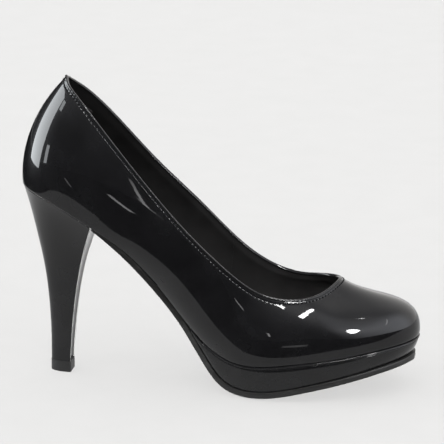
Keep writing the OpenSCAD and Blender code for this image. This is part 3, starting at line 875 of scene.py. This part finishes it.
def make_breast_cover():
    """Strip that closes the covering on the breast of the heel."""
    v = np.linspace(0, 1, 70)
    front = [breast_pt(w, v, 0.0, 0) for w in np.linspace(-0.53, 0.53, 15)]
    back = [breast_pt(w, v, HEEL_SKIN, 0) for w in np.linspace(0.53, -0.53, 15)]
    obj = sweep("heel_breast_strip", np.stack(front + back, 1), sharp=50)
    return dress(obj, "patent", HEEL_PATENT, "heel_breast_cover")


# ---------------------------------------------------------------- build
make_upper()
make_binding()
make_stitches()
make_tape()
make_linings()
make_sock()
make_cushion("ball_cushion_pad", "ball_cushion", 6.5, 11.7)
make_cushion("heel_cushion_pad", "heel_cushion", 0.3, 3.5)
make_filler()
make_rand()
make_platform_cover()
make_outsole()
make_heel_cover()
make_breast_cover()

HARD_NODES = {
    "insole_board": BOARD_FIBRE, "shank": STEEL, "shank_rivets": STEEL, "platform_core": CORE_FOAM,
    "heel_block": BLOCK_PLASTIC, "heel_tube": STEEL, "heel_tip": TIP_RUBBER, "heel_tip_pin": STEEL,
    "heel_screw": PLATED, "heel_nails": STEEL}
for name, material in HARD_NODES.items():    # these stay as the CAD has them and get their finish here
    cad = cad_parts[name]
    cad.data.materials.clear()
    cad.data.materials.append(material)


# ---------------------------------------------------------------- studio, in metres
CAMERA_AZ = math.radians(9)
CAMERA_EL = math.radians(17)
CAMERA_FAR = 1.6
LENS = 236.8                            # focal length in millimetres
SHIFT = (-0.00225, 0.0766)              # sets the shoe in its place in the frame
AIM = Vector((0.0012, 0.0006, 0.07))
FAR = 12.0                              # half a side of the floor
SQUARE = [(-FAR, -FAR), (FAR, -FAR), (FAR, FAR), (-FAR, FAR)]
ROOM_TONE = (0.83, 0.83, 0.83)          # beyond the floor, as the camera sees it
DOME_TONE = (0.45, 0.45, 0.45)          # even light on matt surfaces
SKY_AZ = math.radians(262)
SKY_EL = math.radians(66)
SKY_SPREAD = math.radians(100)
COOL = (0.93, 0.97, 1.0)


def direction(az, el):
    return Vector((math.cos(az) * math.cos(el), math.sin(az) * math.cos(el), math.sin(el)))


def make_camera():
    """Long lens that looks down a little at the shoe's outer side."""
    data = bpy.data.cameras.new("camera")
    cam = bpy.data.objects.new("camera", data)
    bpy.context.scene.collection.objects.link(cam)
    back = Vector((math.sin(CAMERA_AZ) * math.cos(CAMERA_EL), -math.cos(CAMERA_AZ) * math.cos(CAMERA_EL),
                   math.sin(CAMERA_EL)))
    cam.location = AIM + back * CAMERA_FAR
    cam.rotation_euler = (-back).to_track_quat("-Z", "Y").to_euler()
    data.lens = LENS
    data.shift_x, data.shift_y = SHIFT
    data.clip_start, data.clip_end = 0.05, 60
    bpy.context.scene.camera = cam


def flat_piece(name, outline, height, material):
    """One level face with its outline at a height."""
    mesh = bpy.data.meshes.new(name)
    mesh.from_pydata([(x, y, height) for x, y in outline], [], [list(range(len(outline)))])
    mesh.materials.append(material)
    obj = bpy.data.objects.new(name, mesh)
    bpy.context.scene.collection.objects.link(obj)
    return obj


def make_floor():
    mat = new_material("pale_floor", (0.45, 0.448, 0.445), 0.9, Specular_IOR_Level=0.0)
    cloud = noise(mat, place(mat), 40)
    wire(mat, ramp(mat, cloud, (0.446, 0.444, 0.441), (0.454, 0.452, 0.449)), "Base Color")
    floor = flat_piece("floor", SQUARE, -0.0001, mat)


def reflected_card(name, outline, height, shade):
    """Flat card that only reflections see."""
    matt = new_material(name + "_matt", (shade, shade, shade), 1.0, Specular_IOR_Level=0.0)
    card = flat_piece(name, outline, height, matt)
    card.visible_camera = card.visible_diffuse = card.visible_shadow = False


def make_cards():
    """Grey sweep that the patent mirrors under the shoe, and the black card in front of it."""
    reflected_card("grey_card", SQUARE, 0.0005, 0.34)
    edge = [(-FAR, 4), (-0.36, 4), (-0.33, -0.22), (-0.3, -0.27), (-0.24, -0.275), (-0.2, -0.255),
            (-0.16, -0.215), (-0.13, -0.175), (-0.11, -0.125), (-0.098, -0.095), (-0.055, -0.093),
            (-0.02, -0.083), (0.05, -0.078), (0.16, -0.08), (0.3, -0.09), (FAR, -0.2)]
    reflected_card("dark_card", edge + [(FAR, -FAR), (-FAR, -FAR)], 0.001, 0.004)


def colour_mix(world, factor, a, b):
    """Blend of two colours, each a plain colour or another node's output."""
    mixer = node(world, "ShaderNodeMix", {"Factor": factor}, data_type="RGBA")
    for socket, colour in zip(mixer.inputs[6:8], (a, b)):
        if isinstance(colour, tuple):
            socket.default_value = (*colour, 1)
        else:
            world.node_tree.links.new(colour, socket)
    return mixer.outputs[2]


def facing(world, where, axis, start, stop):
    """Smooth rise from 0 to 1 as a direction turns towards the axis."""
    share = node(world, "ShaderNodeVectorMath", {0: where}, operation="DOT_PRODUCT")
    share.inputs[1].default_value = Vector(axis).normalized()
    return node(world, "ShaderNodeMapRange", {"Value": share.outputs["Value"]},
                interpolation_type="SMOOTHSTEP", **{"From Min": start, "From Max": stop}).outputs[0]


def make_world():
    """Pale room for the camera, an even dome for matt surfaces, and a dark studio in reflections."""
    world = bpy.data.worlds.new("studio")
    bpy.context.scene.world = world
    world.use_nodes = True
    where = node(world, "ShaderNodeTexCoord").outputs["Generated"]
    high = facing(world, where, (0, 0, 1), 0.2, 1.0)
    right = facing(world, where, (0.95, -0.1, 0.35), 0.6, 1.0)
    behind = facing(world, where, (0.4, 0.9, 0.15), 0.45, 0.95)
    room = colour_mix(world, high, (0.05, 0.05, 0.053), (0.45, 0.45, 0.465))
    sided = colour_mix(world, right, room, (2.2, 2.25, 2.4))
    studio = colour_mix(world, behind, sided, (1.12, 1.1, 1.08))
    path = node(world, "ShaderNodeLightPath")
    lit = colour_mix(world, path.outputs["Is Glossy Ray"], DOME_TONE, studio)
    seen = colour_mix(world, path.outputs["Is Camera Ray"], lit, ROOM_TONE)
    world.node_tree.links.new(seen, world.node_tree.nodes["Background"].inputs["Color"])


def sky_light(name, strength, shadow):
    """Wide soft sun for the floor and the matt surfaces; without shadow it reaches everywhere."""
    data = bpy.data.lights.new(name, "SUN")
    data.energy = strength
    data.angle = SKY_SPREAD
    data.use_shadow = data.cycles.use_multiple_importance_sampling = shadow
    lamp = bpy.data.objects.new(name, data)
    bpy.context.scene.collection.objects.link(lamp)
    lamp.rotation_euler = direction(SKY_AZ, SKY_EL).to_track_quat("Z", "Y").to_euler()
    lamp.visible_glossy = lamp.visible_camera = False


def strip_lamp(name, start, end, width, radiance, tint=(1, 1, 1), target=AIM, spread=180,
               shape="RECTANGLE"):
    """Flat lamp between two points, turned to face the target; seen only in reflections."""
    start, end = Vector(start), Vector(end)
    data = bpy.data.lights.new(name, "AREA")
    data.shape = shape
    data.size, data.size_y = width, (end - start).length
    data.color = tint
    data.energy = radiance * math.pi * data.size * data.size_y
    data.spread = math.radians(spread)
    lamp = bpy.data.objects.new(name, data)
    bpy.context.scene.collection.objects.link(lamp)
    lamp.location = (start + end) / 2
    along = (end - start).normalized()
    across = along.cross(lamp.location - Vector(target)).normalized()
    lamp.rotation_euler = Matrix((across, along, across.cross(along))).transposed().to_euler()
    lamp.visible_diffuse = lamp.visible_camera = False


def make_lamps():
    """Suns for the matt surfaces, windows at the heel, flashes over the toe, and thin lines of light."""
    sky_light("sky_dome", 0.4, shadow=True)
    sky_light("sky_fill", 4.6, shadow=False)
    strip_lamp("window_main", (-1.46, 0.05, 0.03), (-1.17, 0.02, 1.12), 0.74, 8.5, COOL)
    strip_lamp("window_side", (-1.32, -0.66, 0.14), (-1.3, -0.64, 0.4), 0.18, 6.0, COOL)
    strip_lamp("window_top", (-1.14, -0.48, 0.88), (-1.08, -0.44, 1.04), 0.18, 6.0, COOL)
    strip_lamp("flash_low", (0.15, -0.98, 1.14), (0.36, -0.53, 1.38), 0.085, 45.0)
    strip_lamp("flash_top", (0.32, -0.6, 1.35), (0.54, 0.13, 1.41), 0.06, 45.0, shape="ELLIPSE")
    strip_lamp("flash_right", (0.98, -1.0, 0.55), (0.9, -0.76, 0.92), 0.11, 45.0, shape="ELLIPSE")
    strip_lamp("thin_right", (0.68, -0.05, 0.85), (0.85, -0.33, 0.61), 0.01, 8.0)
    narrow = 30
    strip_lamp("thin_front", (-0.034, -0.318, 0.185), (-0.055, -0.324, 0.105), 0.007, 0.11,
               target=(-0.04, -0.026, 0.112), spread=narrow)
    strip_lamp("thin_low", (-0.108, -0.27, 0.08), (-0.096, -0.265, 0.042), 0.006, 0.11,
               target=(-0.048, -0.028, 0.104), spread=narrow)
    strip_lamp("thin_back", (-0.255, -0.326, 0.078), (-0.229, -0.334, 0.042), 0.006, 0.05,
               target=(-0.08, -0.026, 0.115), spread=narrow)
    strip_lamp("thin_ball", (-0.069, -0.52, 0.13), (-0.066, -0.525, 0.094), 0.01, 0.14,
               target=(0.03, -0.037, 0.041), spread=narrow)
    strip_lamp("thin_foot", (0.03, -0.155, 0.012), (0.07, -0.152, 0.006), 0.008, 0.05,
               target=(0.048, -0.039, 0.031), spread=40)


make_camera()
make_floor()
make_cards()
make_world()
make_lamps()

view = bpy.context.scene.view_settings
view.view_transform = "Standard"
view.look = "None"
